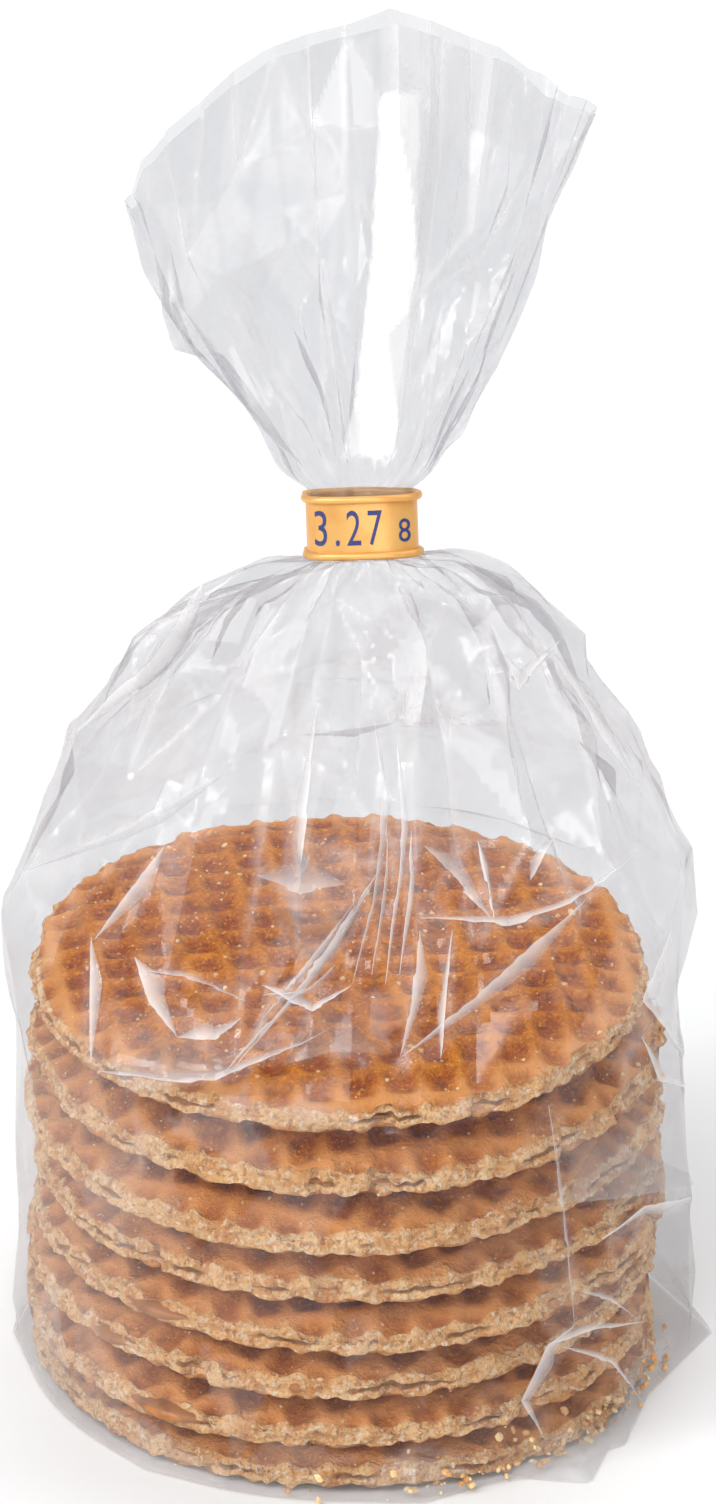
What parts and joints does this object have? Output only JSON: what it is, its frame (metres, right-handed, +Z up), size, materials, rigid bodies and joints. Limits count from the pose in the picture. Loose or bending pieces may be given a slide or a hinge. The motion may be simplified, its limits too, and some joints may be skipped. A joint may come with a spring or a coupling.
{
  "type": "clear bag of stroopwafels",
  "caption": "Upright clear bag round a stack of round caramel wafels, gathered at the neck by a gold clip band, with a ruffle of loose film above.",
  "frame": {"origin": "on the axis of the stack of wafels, on the surface that the bag stands on", "axes": "+Z up through the stack to the gathered neck; -Y is the front with the figures on the band; +X is to the right seen from the front"},
  "size_m": [0.1114, 0.1043, 0.2206],
  "materials": {
    "film": "clear crisp wrapping film, glossy, creased and pleated",
    "gold_foil": "satin gold foil strip with rolled edges",
    "wafel": "baked golden brown, matt, with a pressed grid and a crumbly cut edge",
    "caramel": "smooth sticky syrup, satin",
    "ink": "dark blue stamped ink"
  },
  "bodies": {
    "root": {"bag": "film", "ruffle": "film", "clip_band": "gold_foil"}
  },
  "joints": []
}
